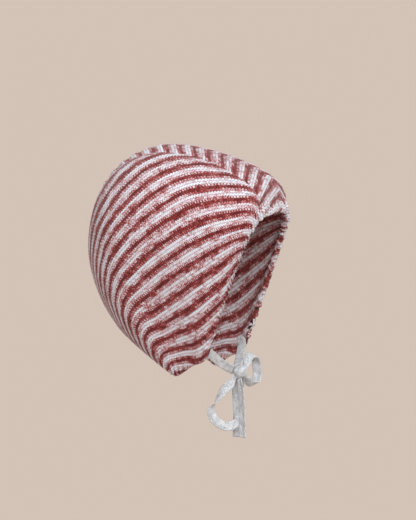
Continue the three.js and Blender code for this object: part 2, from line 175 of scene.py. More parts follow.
# One slice as points from the middle line to the lower edge, with the length up to each and the
# length up to the seam.
def sliceLine(place):
    value = sliceValues(place)
    share = np.linspace(0, 1, gridSize)
    way = np.where(share < 0.5, (2 * share) ** 3 * 0.5, share)  # finer steps near the top
    top = np.array((0, -value["forward"] * shape["depth"], -value["drop"] * shape["height"]))
    foot = np.array((0, -value["footForward"] * shape["depth"], -value["footDrop"] * shape["height"]))
    line = top + (foot - top) * way[:, None]
    line[:, 2] += shape["knitWall"]
    level, square = value["level"], value["square"]
    footShare = min(value["footHalf"] / value["half"], 0.9999)
    above = np.clip((level - way) / level, 0, 1)
    upper = (1 - above**square) ** (1 / square)
    reach = (1 - level) / math.sqrt(1 - footShare**2)
    lower = np.sqrt(np.clip(1 - ((way - level) / reach) ** 2, 0, 1))
    line[:, 0] = value["half"] * shape["width"] * np.where(way < level, upper, lower)
    lengths = lengthsAlong(line)
    bandHalf = value["band"] * shape["bandWidth"]
    past = int(np.argmax(line[:, 0] >= bandHalf))
    seam = np.interp(bandHalf, line[past - 1:past + 1, 0], lengths[past - 1:past + 1])
    return line, lengths, seam


# A surface as a grid of points, with the outward directions and the lengths along its two ways.
def surfaceOf(lines):
    points = np.array(lines)
    alongFirst, alongSecond = changesOf(points)
    normals = np.cross(alongSecond, alongFirst)
    normals /= np.linalg.norm(normals, axis=2, keepdims=True)
    first, second = lengthsAlong(points), lengthsAlong(points, 1)
    return {"points": points, "normals": normals, "first": first, "second": second}


def lineAt(line, lengths, wanted):
    return np.stack([np.interp(wanted, lengths, line[:, axis]) for axis in range(3)], axis=1)


def makeSurfaces():
    panelLines, bandLines = [], []
    shares = np.linspace(0, 1, gridSize)
    for place in np.linspace(0, 1, gridSize):
        line, lengths, seam = sliceLine(place)
        start = seam + shape["seamGap"] / 2
        panelLines.append(lineAt(line, lengths, start + (lengths[-1] - start) * shares))
        across = 2 * shares - 1
        bandLine = lineAt(line, lengths, np.abs(across) * (seam - shape["seamGap"] / 2))
        bandLine[:, 0] *= np.sign(across)
        bandLines.append(bandLine)
    return surfaceOf(panelLines), surfaceOf(bandLines)


panelSurface, bandSurface = makeSurfaces()
print("surfaces drawn")

# The knitting. rowMillimetres says how many millimetres of rows were knitted up to a spot: a row of
# it for each fifth of the way from the front edge to the neck edge, a column from the seam down.
knit = {
    "stitchWidth": 0.0016,
    "rowHeight": 0.00238,
    "lean": 0.2,  # how far a stitch's legs rise to the sides, in rows
    "rowMillimetres": [
        (69, 100, 126, 135, 146, 157),
        (43, 71, 99, 120, 139, 159),
        (7, 38, 68, 98, 127, 160),
        (-20, 11, 51, 88, 124, 167),
        (-24, 7, 53, 95, 133, 172),
        (-16, 11, 51, 90, 130, 172),
    ],
    "coarseNodes": 33,  # of the grid on which the way along the rows is worked out
    "fineNodes": 91,  # of the grid that places the stitches
    "facesOutside": (4, 2),  # columns and rows of faces that draw a stitch
    "facesInside": (1, 1),
    "bandPlaces": (0, 0.12, 0.35, 1),  # shares of the way from brim to nape for the next two
    "bandBulge": (0.012, 0.0125, 0.0105, 0.004),  # how far the band's rows bend back
    "bandBend": (0.75, 0.72, 0.62, 0.5),  # where across the band they bend furthest
    "bandPower": 1.15,  # 1 would be a pointed bend, 2 a round one
    "bandRipple": 0.0006,  # how far its light stripes stand out
    "legHeight": 0.00036,
    "legEnds": 0.15,  # how high a leg still is at its ends, as a share
    "grooveDepth": 0.0003,  # between stitches
    "innerGroove": 0.45,  # the groove between a stitch's legs, as a share of that
    "grooveFill": 0.35,  # how much shallower both are halfway up a row
    "hemLumpPitch": 0.0038,
    "hemLump": 0.0005,
    "hemDent": 0.0009,  # how far the front edge draws back between its lumps
    "hemFade": (0.3, 1.2),  # where the lumps begin and end to fade, in hem widths
    "cornerLumps": 2.4,  # how much stronger the lumps are at the upper corners
    "cornerReach": 0.03,
    "crinkle": 0.7,  # the finer lumps there, as a share
    "crinkleTurns": 1.7,  # their turns to a lump, along the edge
    "crinkleSlant": 30.0,  # and to a metre, away from it
    "tipRound": 0.006,
    "tipReach": 0.009,  # of the coarse stitches at the lower tip
    "tipPitch": 0.0042,
    "tipLumps": 2.2,
}


# The way along the rows at each node, so that the stitches keep their width as well as they can.
def alongRows(points, normals, rows):
    index = np.arange(rows.size).reshape(rows.shape)
    slopeOne, slopeTwo = changesOf(rows)
    one, two = changesOf(points)
    gradient = np.cross(two, normals) * slopeOne[..., None]
    gradient += np.cross(normals, one) * slopeTwo[..., None]
    ahead = np.cross(gradient, normals)
    ahead /= np.linalg.norm(ahead, axis=2, keepdims=True)
    matrix = np.zeros((rows.size, rows.size))
    side = np.zeros(rows.size)
    pairs = [(index[:-1], index[1:]), (index[:, :-1], index[:, 1:])]
    steps = [points[1:] - points[:-1], points[:, 1:] - points[:, :-1]]
    halves = [(ahead[1:] + ahead[:-1]) / 2, (ahead[:, 1:] + ahead[:, :-1]) / 2]
    for (here, there), step, half in zip(pairs, steps, halves):
        wanted = np.sum(half * step, axis=2).ravel()
        weight = 1 / np.sum(step * step, axis=2).ravel()
        here, there = here.ravel(), there.ravel()
        np.add.at(matrix, (here, here), weight)
        np.add.at(matrix, (there, there), weight)
        np.add.at(matrix, (here, there), -weight)
        np.add.at(matrix, (there, here), -weight)
        np.add.at(side, here, -weight * wanted)
        np.add.at(side, there, weight * wanted)
    middle = index[rows.shape[0] // 2, rows.shape[1] // 2]
    matrix[middle, middle] += 1e6  # holds one node at nought
    return np.linalg.solve(matrix, side).reshape(rows.shape)


# Rows and wales over a surface, on nodes that reach a little past its edges.
def fieldsOver(surface, rowsAt, walesAt=None):
    if walesAt is None:
        coarse = np.linspace(0, 1, knit["coarseNodes"])
        p, q = np.meshgrid(coarse, coarse, indexing="ij")
        points = smoothSample(surface["points"], p, q)
        normals = smoothSample(surface["normals"], p, q)
        table = alongRows(points, normals, rowsAt(p, q))
        walesAt = lambda p, q: smoothSample(table, p, q)
    inner = np.linspace(0, 1, knit["fineNodes"])
    p, q = np.meshgrid(inner, inner, indexing="ij")
    rows, wales = rowsAt(p, q), walesAt(p, q)
    past = inner[1] * np.array([1, 2, 3])
    for _ in past:
        rows, wales = padded(rows), padded(wales)
    return np.concatenate([-past[::-1], inner, 1 + past]), wales, rows


# The spots on the surface where the lattice of wales and rows crosses, as two tables.
def latticeSpots(reach, wales, rows, stepAlong, stepUp):
    u, v = wales / stepAlong, rows / stepUp
    lowU, lowV = math.floor(u.min()), math.floor(v.min())
    size = (math.ceil(u.max()) - lowU + 1, math.ceil(v.max()) - lowV + 1)
    spotP, spotQ = np.full(size, np.nan), np.full(size, np.nan)
    p, q = np.meshgrid(reach, reach, indexing="ij")
    low, high = slice(None, -1), slice(1, None)
    for triangle in (((low, low), (high, low), (high, high)), ((low, low), (high, high), (low, high))):
        us, vs, ps, qs = (np.stack([table[at].ravel() for at in triangle]) for table in (u, v, p, q))
        area = (us[1] - us[0]) * (vs[2] - vs[0]) - (us[2] - us[0]) * (vs[1] - vs[0])
        startU, startV = np.ceil(us.min(0)).astype(int), np.ceil(vs.min(0)).astype(int)
        countU = np.floor(us.max(0)).astype(int) - startU + 1
        countV = np.floor(vs.max(0)).astype(int) - startV + 1
        for i in range(max(countU.max(), 0)):
            for j in range(max(countV.max(), 0)):
                pick = (i < countU) & (j < countV) & (np.abs(area) > 1e-12)
                x, y = startU[pick] + i, startV[pick] + j
                tu, tv, ta = us[:, pick], vs[:, pick], area[pick]
                one = ((x - tu[0]) * (tv[2] - tv[0]) - (tu[2] - tu[0]) * (y - tv[0])) / ta
                two = ((tu[1] - tu[0]) * (y - tv[0]) - (x - tu[0]) * (tv[1] - tv[0])) / ta
                hit = (one >= -1e-9) & (two >= -1e-9) & (one + two <= 1 + 1e-9)
                none = 1 - one - two
                at = (x[hit] - lowU, y[hit] - lowV)
                for spots, (a, b, c) in ((spotP, ps[:, pick]), (spotQ, qs[:, pick])):
                    spots[at] = (none * a + one * b + two * c)[hit]
    return spotP, spotQ, lowU, lowV


# The part of a polygon on the wanted side of an edge. A corner is its place on the surface and on
# the weave, its height and its number.
def cutAt(corners, axis, bound, sign):
    kept = []
    for one, two in zip(corners, corners[1:] + corners[:1]):
        sideOne, sideTwo = sign * (one[axis] - bound), sign * (two[axis] - bound)
        if sideOne >= 0:
            kept.append(one)
        if (sideOne > 0 > sideTwo) or (sideOne < 0 < sideTwo):
            if (one[1 - axis], one[axis]) > (two[1 - axis], two[axis]):
                one, two, sideOne, sideTwo = two, one, sideTwo, sideOne
            share = sideOne / (sideOne - sideTwo)
            point = [a + (b - a) * share for a, b in zip(one, two)]
            point[axis] = float(bound)
            kept.append(tuple(point))
    return kept


# One side of a knitted piece: a lattice of stitches cut off exactly at the piece's edges, as corners,
# faces and the numbers of the points on the edges with their places. perStitch is how many columns
# and rows of faces draw a stitch.
def knittedSide(fields, perStitch):
    columns, halves = perStitch
    stepAlong, stepUp = knit["stitchWidth"] / columns, knit["rowHeight"] / halves
    spotP, spotQ, lowU, lowV = latticeSpots(*fields, stepAlong, stepUp)
    u = np.arange(spotP.shape[0])[:, None] + lowU + 0 * spotP
    v = np.arange(spotP.shape[1])[None, :] + lowV + 0 * spotP
    height = 0 * spotP
    if columns > 1:
        side = np.abs((u / columns) % 1 - 0.5) * 2  # 0 between a stitch's legs, 1 between stitches
        rise = knit["lean"] * (2 * side - 1) * halves
        for table in (spotP, spotQ):
            above, below = np.roll(table, -1, axis=1), np.roll(table, 1, axis=1)
            table += np.where(rise > 0, rise * (above - table), rise * (table - below))
        v = v + rise
        crest = 1 - np.abs(2 * side - 1)
        middle = (np.arange(spotP.shape[1])[None, :] + lowV) % halves / halves
        bulge = np.sin(np.pi * middle)
        ends, inner = knit["legEnds"], knit["innerGroove"]
        groove = knit["grooveDepth"] * (1 - crest) * (1 - knit["grooveFill"] * bulge)
        height = knit["legHeight"] * crest * (ends + (1 - ends) * bulge)
        height -= groove * (inner + (1 - inner) * side)
    reached = ~np.isnan(spotP)
    inside = reached & (spotP > 0) & (spotP < 1) & (spotQ > 0) & (spotQ < 1)
    numbers = np.full(spotP.shape, -1)
    numbers[inside] = np.arange(inside.sum())
    values = (spotP, spotQ, u * stepAlong, v * stepUp, height)
    corners = np.stack([value[inside] for value in values], 1)
    quad = lambda table: np.stack([table[:-1, :-1], table[1:, :-1], table[1:, 1:], table[:-1, 1:]])
    allInside = quad(inside).all(0)
    faces = quad(numbers)[:, allInside].T.tolist()
    tables = [quad(value) for value in (*values, numbers)]
    pQuad, qQuad = tables[:2]
    near = (pQuad.max(0) > 0) & (pQuad.min(0) < 1) & (qQuad.max(0) > 0) & (qQuad.min(0) < 1)
    extra, edgeNumbers = [], {}
    for i, j in np.argwhere(quad(reached).all(0) & ~allInside & near):
        polygon = [tuple(table[k, i, j] for table in tables) for k in range(4)]
        for axis, bound, sign in ((0, 0, 1), (0, 1, -1), (1, 0, 1), (1, 1, -1)):
            polygon = cutAt(polygon, axis, bound, sign)
        face = []
        for corner in polygon:
            if corner[0] in (0, 1) or corner[1] in (0, 1):
                key = (round(corner[0], 7), round(corner[1], 7))
                if key not in edgeNumbers:
                    edgeNumbers[key] = len(corners) + len(extra)
                    extra.append(corner[:5])
                number = edgeNumbers[key]
            else:
                number = int(corner[5])
            if not face or (number != face[-1] and number != face[0]):
                face.append(number)
        if len(face) > 2:
            faces.append(face)
    corners = np.concatenate([corners, np.array(extra)])
    return corners, faces, {number: key for key, number in edgeNumbers.items()}


# The place of an edge point on the way round a piece, from 0 to 4.
def roundEdge(p, q):
    if p == 0:
        return q
    if q == 1:
        return 1 + p
    if p == 1:
        return 3 - q
    return 4 - p


# Faces that join the edges of two sides whose points don't match one to one.
def joinEdges(one, two):
    loops = []
    for edge in (one, two):
        loop = sorted((roundEdge(*key) % 4, number) for number, key in edge.items())
        loops.append(loop + [(4 + loop[0][0], loop[0][1])])
    faces, i, j = [], 0, 0
    first, second = loops
    lastFirst, lastSecond = len(first) - 1, len(second) - 1
    while i < lastFirst or j < lastSecond:
        if j == lastSecond or (i < lastFirst and first[i + 1][0] <= second[j + 1][0]):
            faces.append([first[i][1], first[i + 1][1], second[j][1]])
            i += 1
        else:
            faces.append([first[i][1], second[j + 1][1], second[j][1]])
            j += 1
    return faces


def smoothStep(value, low, high):
    t = np.clip((value - low) / (high - low), 0, 1)
    return t * t * (3 - 2 * t)


def roundedBy(distance):
    left = np.clip(1 - distance / shape["hemRound"], 0, 1)
    return shape["edgeRound"] * left * left


def wallAt(distance):
    share = smoothStep(distance, shape["hemWidth"], shape["hemEnd"] * shape["hemWidth"])
    return shape["hemWall"] + (shape["knitWall"] - shape["hemWall"]) * share


# How far spots lie from the front edge, the seam and the nearest open edge, and how many puckers
# and lumps of the front edge lie before them.
def distancesOn(surface, p, q):
    fromFront = smoothSample(surface["first"], p, q)
    edge = np.minimum(fromFront, smoothSample(surface["first"], np.ones_like(p), q) - fromFront)
    across = smoothSample(surface["second"], p, np.ones_like(p))
    if surface is panelSurface:
        frontLength = surface["second"][0, -1]
        fromSeam = smoothSample(surface["second"], p, q)
        edge = np.minimum(edge, across - fromSeam)
    else:
        frontLength = shape["bandWidth"]
        fromSeam = np.minimum(q, 1 - q) * across
    puckers = round(frontLength / shape["gatherPitch"])
    lumps = round(frontLength / knit["hemLumpPitch"])
    return fromFront, fromSeam, edge, puckers * q, lumps * q


# Spots near the panel's lower tip drawn in, so that its corner is round.
def roundTip(surface, p, q):
    if surface is bandSurface:
        return p, q
    radius = knit["tipRound"]
    lengthP, lengthQ = surface["first"][-1, -1], surface["second"][-1, -1]
    a = np.clip(radius - (1 - p) * lengthP, 0, radius)
    b = np.clip(radius - (1 - q) * lengthQ, 0, radius)
    far = np.hypot(a, b)
    share = np.where((a > 0) & (b > 0), np.maximum(a, b) / np.maximum(far, 1e-12), 1.0)
    return p - a * (1 - share) / lengthP, q - b * (1 - share) / lengthQ


# The points of one side in space, and how far the hem's lumps stand out at each.
def placedSide(surface, corners, inner):
    p, q = roundTip(surface, corners[:, 0], corners[:, 1])
    fromFront, fromSeam, edge, pucker, lump = distancesOn(surface, p, q)
    hemWidth = shape["hemWidth"]
    wave = np.cos(2 * np.pi * lump)
    corner = np.exp(-((fromSeam / knit["cornerReach"]) ** 2))
    near = 1 + knit["cornerLumps"] * corner
    dent = knit["hemDent"] * (0.5 - 0.5 * wave) * near
    dent *= 1 - smoothStep(fromFront, 0, shape["hemEnd"] * hemWidth)
    p = p + dent / surface["first"][-1, gridSize // 2]
    dip = shape["seamDip"] * np.exp(-((fromSeam / shape["seamReach"]) ** 2))
    fade = 1 - smoothStep(fromFront, 0, shape["gatherReach"])
    lift = shape["gatherDepth"] * fade * 0.5 * (np.cos(2 * np.pi * pucker) - 1) - dip
    fadeFrom, fadeTo = knit["hemFade"]
    hemFade = 1 - smoothStep(fromFront, fadeFrom * hemWidth, (fadeTo + corner) * hemWidth)
    turns = knit["crinkleTurns"] * lump + knit["crinkleSlant"] * fromFront
    hem = hemFade * near * (wave + knit["crinkle"] * corner * np.cos(2 * np.pi * turns))
    if surface is panelSurface:
        fromNeck = surface["first"][-1, -1] * (1 - p)
        fromLower = surface["second"][-1, -1] * (1 - q)
        fray = np.exp(-((fromNeck**2 + fromLower**2) / knit["tipReach"] ** 2))
        turns = (fromNeck - fromLower) / knit["tipPitch"]
        hem += knit["tipLumps"] * fray * np.cos(2 * np.pi * turns)
    else:
        stripe = len(yarn["tones"]) * knit["rowHeight"]
        lift += knit["bandRipple"] * np.cos(2 * np.pi * (corners[:, 3] / stripe - 0.5))
    lift += knit["hemLump"] * hem - roundedBy(edge)
    lift += 2 * roundedBy(edge) - wallAt(edge) if inner else corners[:, 4]
    points = smoothSample(surface["points"], p, q)
    normals = smoothSample(surface["normals"], p, q)
    normals /= np.linalg.norm(normals, axis=1, keepdims=True)
    return points + normals * lift[:, None], hem


def faceOutwards(mesh, weld=None):
    build = bmesh.new()
    build.from_mesh(mesh)
    if weld:
        bmesh.ops.remove_doubles(build, verts=build.verts, dist=weld)
    bmesh.ops.recalc_face_normals(build, faces=build.faces)
    build.to_mesh(mesh)
    build.free()


# flat is each point's place on the weave in metres, hem what placedSide says of it.
def meshObject(name, points, faces, flat, material, hem=None):
    mesh = bpy.data.meshes.new(name)
    mesh.from_pydata(np.asarray(points).tolist(), [], faces)
    faceOutwards(mesh)
    corner = np.zeros(len(mesh.loops), int)
    mesh.loops.foreach_get("vertex_index", corner)
    layer = mesh.uv_layers.new(name="weave")
    layer.data.foreach_set("uv", np.asarray(flat, float)[corner].ravel())
    if hem is not None:
        attribute = mesh.attributes.new("hem", "FLOAT", "POINT")
        attribute.data.foreach_set("value", np.asarray(hem, float))
    mesh.shade_smooth()
    mesh.materials.append(material)
    thing = bpy.data.objects.new(name, mesh)
    bpy.context.scene.collection.objects.link(thing)
    return thing


def knittedPiece(name, surface, fields, material, mirror):
    outer, outerFaces, outerEdge = knittedSide(fields, knit["facesOutside"])
    inner, innerFaces, innerEdge = knittedSide(fields, knit["facesInside"])
    shift = len(outer)
    faces = outerFaces + [[number + shift for number in face] for face in innerFaces]
    innerEdge = {number + shift: key for number, key in innerEdge.items()}
    faces += joinEdges(outerEdge, innerEdge)
    outerPoints, outerHem = placedSide(surface, outer, False)
    innerPoints, innerHem = placedSide(surface, inner, True)
    points = np.concatenate([outerPoints, innerPoints])
    points[:, 0] *= mirror
    flat = np.concatenate([outer[:, 2:4], inner[:, 2:4]])
    return meshObject(name, points, faces, flat, material, np.concatenate([outerHem, innerHem]))


# Materials. A colour from 0 to 255 becomes the linear values of a shader.
def linear(red, green, blue):
    values = [channel / 255 for channel in (red, green, blue)]
    return tuple(v / 12.92 if v <= 0.04045 else ((v + 0.055) / 1.055) ** 2.4 for v in values) + (1.0,)


def newMaterial(name):
    material = bpy.data.materials.new(name)
    material.use_nodes = True
    tree = material.node_tree
    shader = tree.nodes["Principled BSDF"]
    return material, tree, shader


def feed(tree, sockets, values):
    for socket, value in zip(sockets, values):
        if isinstance(value, bpy.types.NodeSocket):
            tree.links.new(value, socket)
        else:
            socket.default_value = value


def calc(tree, operation, *values):
    node = tree.nodes.new("ShaderNodeMath")
    node.operation = operation
    feed(tree, node.inputs, values)
    return node.outputs[0]


def plus(tree, one, two):
    return calc(tree, "ADD", one, two)


def minus(tree, one, two):
    return calc(tree, "SUBTRACT", one, two)


def times(tree, one, two):
    return calc(tree, "MULTIPLY", one, two)


# A value from 0 to 1 as a swing to both sides of nought.
def swung(tree, value, amount):
    return times(tree, minus(tree, value, 0.5), amount)


def vectorOf(tree, *values):
    node = tree.nodes.new("ShaderNodeCombineXYZ")
    feed(tree, node.inputs, values)
    return node.outputs[0]


def weaveOf(tree):
    node = tree.nodes.new("ShaderNodeUVMap")
    node.uv_map = "weave"
    parts = tree.nodes.new("ShaderNodeSeparateXYZ")
    tree.links.new(node.outputs[0], parts.inputs[0])
    return parts.outputs[0], parts.outputs[1]


def noiseAt(tree, vector, scale, detail=2.0):
    node = tree.nodes.new("ShaderNodeTexNoise")
    node.noise_dimensions = "3D"
    tree.links.new(vector, node.inputs["Vector"])
    node.inputs["Scale"].default_value = scale
    node.inputs["Detail"].default_value = detail
    return node.outputs["Fac"]


# Soft patches over the weave. fine says how many come along it and up it.
def patchesAt(tree, along, up, fine, seed, detail=2.0):
    place = vectorOf(tree, times(tree, along, fine[0]), times(tree, up, fine[1]), seed)
    return noiseAt(tree, place, 1.0, detail)


def randomAt(tree, vector):
    node = tree.nodes.new("ShaderNodeTexWhiteNoise")
    node.noise_dimensions = "3D"
    tree.links.new(vector, node.inputs["Vector"])
    return node.outputs["Value"]


def rampOf(tree, value, stops, steps=False):
    node = tree.nodes.new("ShaderNodeValToRGB")
    node.color_ramp.interpolation = "CONSTANT" if steps else "LINEAR"
    elements = node.color_ramp.elements
    while len(elements) < len(stops):
        elements.new(0.5)
    for element, (place, colour) in zip(elements, stops):
        element.position = place
        element.color = colour
    tree.links.new(value, node.inputs[0])
    return node.outputs[0]


# The value that belongs to each row of a stripe.
def perRow(tree, inStripe, values):
    stops = [(k / len(values), (value, value, value, 1.0)) for k, value in enumerate(values)]
    return rampOf(tree, inStripe, stops, steps=True)


def mixed(tree, share, one, two, mode="MIX"):
    node = tree.nodes.new("ShaderNodeMix")
    node.data_type = "RGBA"
    node.blend_type = mode
    feed(tree, (node.inputs[0], node.inputs[6], node.inputs[7]), (share, one, two))
    return node.outputs[2]


# The bump and the sockets that hold one value, from the look's dictionary.
def dressed(tree, shader, look, colour, height):
    node = tree.nodes.new("ShaderNodeBump")
    node.inputs["Strength"].default_value = look["bumpStrength"]
    node.inputs["Distance"].default_value = look["bumpDistance"]
    tree.links.new(height, node.inputs["Height"])
    tree.links.new(node.outputs[0], shader.inputs["Normal"])
    tree.links.new(colour, shader.inputs["Base Color"])
    shader.inputs["Roughness"].default_value = look["roughness"]
    shader.inputs["Specular IOR Level"].default_value = look["specular"]
    shader.inputs["Sheen Weight"].default_value = look["sheen"]
    shader.inputs["Sheen Roughness"].default_value = look["sheenRoughness"]


# The yarn of the stripes. tones gives each row of a stripe its tone, from 0 dark to 1 off-white,
# and dots how far that swings between a stitch's legs and its gaps. The swings are in the same unit.
yarn = {
    "tones": (0.08, 0.46, 0.96, 0.9, 0.5),
    "dots": (0.0, 0.2, 0.0, 0.1, 0.75),
    "dotPatches": (90.0, 1.7),  # to a metre along the rows, and to a row
    "dotGain": 3.4,  # how strongly the dots come and go
    "dotLoss": 0.8,
    "stitchSwing": 0.26,
    "driftPatches": (110.0, 1.8),
    "driftSwing": 1.7,
    "speckScale": 1100.0,
    "speckSwing": 1.9,
    # Painted light and shade: the hem's lumps are painted lighter on their tops and darker in the hollows
    # between them
    "hemLumpShading": 0.28,  # how much lighter the tops of the hem's lumps are
    "colours": [  # at the tones 0, 0.25, 0.5, 0.75 and 1
        (102, 24, 25),
        (150, 47, 44),
        (180, 100, 100),
        (217, 186, 191),
        (232, 234, 242),
    ],
    "fleck": (96, 60, 70),
    "fleckedStitches": 0.03,
    "fleckStrength": 0.25,
    # Painted shade: the next two entries darken the colour towards a leg's edges, between stitches and
    # between rows, where the grooves lie in shade
    "paintedLegShade": 0.4,  # how light a leg's edge is next to its crest
    "paintedGrooveShades": [(0.0, (0.4, 0.34, 0.36, 1.0)), (0.45, (0.95, 0.94, 0.94, 1.0)), (1.0, (1.0, 1.0, 1.0, 1.0))],
    "fibreScale": 1900.0,
    "plyTurns": 2.0,  # of the yarn's twist, to a stitch
    "plyRise": 1.6,
    "plyHeight": 0.14,  # next to the fibres
    "bumpDistance": 0.00028,
    "bumpStrength": 0.8,
    "roughness": 0.92,
    "specular": 0.25,
    "sheen": 0.22,
    "sheenRoughness": 0.55,
}


def knitMaterial(name, seed):
    material, tree, shader = newMaterial(name)
    along, up = weaveOf(tree)
    column = calc(tree, "DIVIDE", along, knit["stitchWidth"])
    stitch = calc(tree, "FLOOR", column)
    # 0 between a stitch's legs, 1 between stitches
    side = times(tree, calc(tree, "ABSOLUTE", minus(tree, calc(tree, "FRACT", column), 0.5)), 2.0)
    outwards = minus(tree, times(tree, side, 2.0), 1.0)
    rowPlace = calc(tree, "DIVIDE", up, knit["rowHeight"])
    rowPlace = minus(tree, rowPlace, times(tree, outwards, knit["lean"]))
    row = calc(tree, "FLOOR", rowPlace)
    inRow = calc(tree, "FRACT", rowPlace)
    inStripe = calc(tree, "FRACT", calc(tree, "DIVIDE", plus(tree, row, 0.5), len(yarn["tones"])))
    uneven = patchesAt(tree, along, row, yarn["dotPatches"], seed + 9)
    uneven = minus(tree, times(tree, uneven, yarn["dotGain"]), yarn["dotLoss"])
    dots = times(tree, perRow(tree, inStripe, yarn["dots"]), uneven)
    place = tree.nodes.new("ShaderNodeTexCoord").outputs["Object"]
    hem = tree.nodes.new("ShaderNodeAttribute")
    hem.attribute_name = "hem"
    drift = patchesAt(tree, along, row, yarn["driftPatches"], 2 * seed)
    perStitch = randomAt(tree, vectorOf(tree, stitch, row, seed))
    tone = perRow(tree, inStripe, yarn["tones"])
    for part in (
        times(tree, dots, minus(tree, 0.5, side)),
        swung(tree, perStitch, yarn["stitchSwing"]),
        swung(tree, drift, yarn["driftSwing"]),
        swung(tree, noiseAt(tree, place, yarn["speckScale"]), yarn["speckSwing"]),
        # painted light on the tops of the hem's lumps and painted shade between them
        times(tree, hem.outputs["Fac"], yarn["hemLumpShading"]),
    ):
        tone = plus(tree, tone, part)
    last = len(yarn["colours"]) - 1
    colour = rampOf(tree, tone, [(k / last, linear(*shade)) for k, shade in enumerate(yarn["colours"])])
    chance = randomAt(tree, vectorOf(tree, stitch, row, seed + 7.0))
    fleck = calc(tree, "GREATER_THAN", chance, 1 - yarn["fleckedStitches"])
    colour = mixed(tree, times(tree, fleck, yarn["fleckStrength"]), colour, linear(*yarn["fleck"]))
    # Painted shade in the grooves: the colour is multiplied darker off each leg's crest and towards the
    # ends of each row
    crest = minus(tree, 1.0, calc(tree, "ABSOLUTE", outwards))
    body = plus(tree, yarn["paintedLegShade"], times(tree, crest, 1 - yarn["paintedLegShade"]))
    body = times(tree, body, calc(tree, "SINE", times(tree, inRow, math.pi)))
    colour = mixed(tree, 1.0, colour, rampOf(tree, body, yarn["paintedGrooveShades"]), "MULTIPLY")
    twist = plus(tree, column, times(tree, rowPlace, yarn["plyRise"]))
    ply = calc(tree, "SINE", times(tree, twist, yarn["plyTurns"] * 2 * math.pi))
    fibres = noiseAt(tree, place, yarn["fibreScale"], 3.0)
    height = plus(tree, fibres, times(tree, ply, yarn["plyHeight"]))
    dressed(tree, shader, yarn, colour, height)
    return material


# The tape of the ties: its section, its form along a route and its look
tapeLook = {
    "width": 0.007,
    "thickness": 0.0009,
    "sectionSteps": 11,
    "stepsBetween": 6,  # from one point of a route to the next
    "pinchReach": (0.0015, 0.009),  # where a pinched end begins and ends to widen
    "bend": 0.9,  # how hollow the tape gets where it is pinched or folded
    "foldTurn": 0.4,  # of half a turn
    "wobble": 0.00018,
    "wobbleRate": 400.0,
    "colours": [
        (0.32, (124, 128, 133)),
        (0.5, (201, 206, 211)),
        (0.66, (236, 242, 246)),
    ],
    "finePatches": (700.0, 1900.0),
    "widePatches": (180.0, 320.0),
    "fineShare": 0.65,
    "ribPitch": 0.0009,
    "ribSlant": 0.6,
    "ribHeight": 0.5,
    "bumpDistance": 0.00018,
    "bumpStrength": 0.8,
    "roughness": 0.88,
    "specular": 0.3,
    "sheen": 0.3,
    "sheenRoughness": 0.5,
}


def tapeMaterial():
    material, tree, shader = newMaterial("tape")
    along, across = weaveOf(tree)
    fine = patchesAt(tree, along, across, tapeLook["finePatches"], 1.0, 3.0)
    wide = patchesAt(tree, along, across, tapeLook["widePatches"], 5.0)
    fineShare = tapeLook["fineShare"]
    tone = plus(tree, times(tree, fine, fineShare), times(tree, wide, 1 - fineShare))
    colour = rampOf(tree, tone, [(at, linear(*shade)) for at, shade in tapeLook["colours"]])
    perPitch = 2 * math.pi / tapeLook["ribPitch"]
    slant = plus(tree, along, times(tree, across, tapeLook["ribSlant"]))
    waves = [calc(tree, "SINE", times(tree, way, perPitch)) for way in (slant, across)]
    height = plus(tree, times(tree, times(tree, *waves), tapeLook["ribHeight"]), fine)
    dressed(tree, shader, tapeLook, colour, height)
    return material


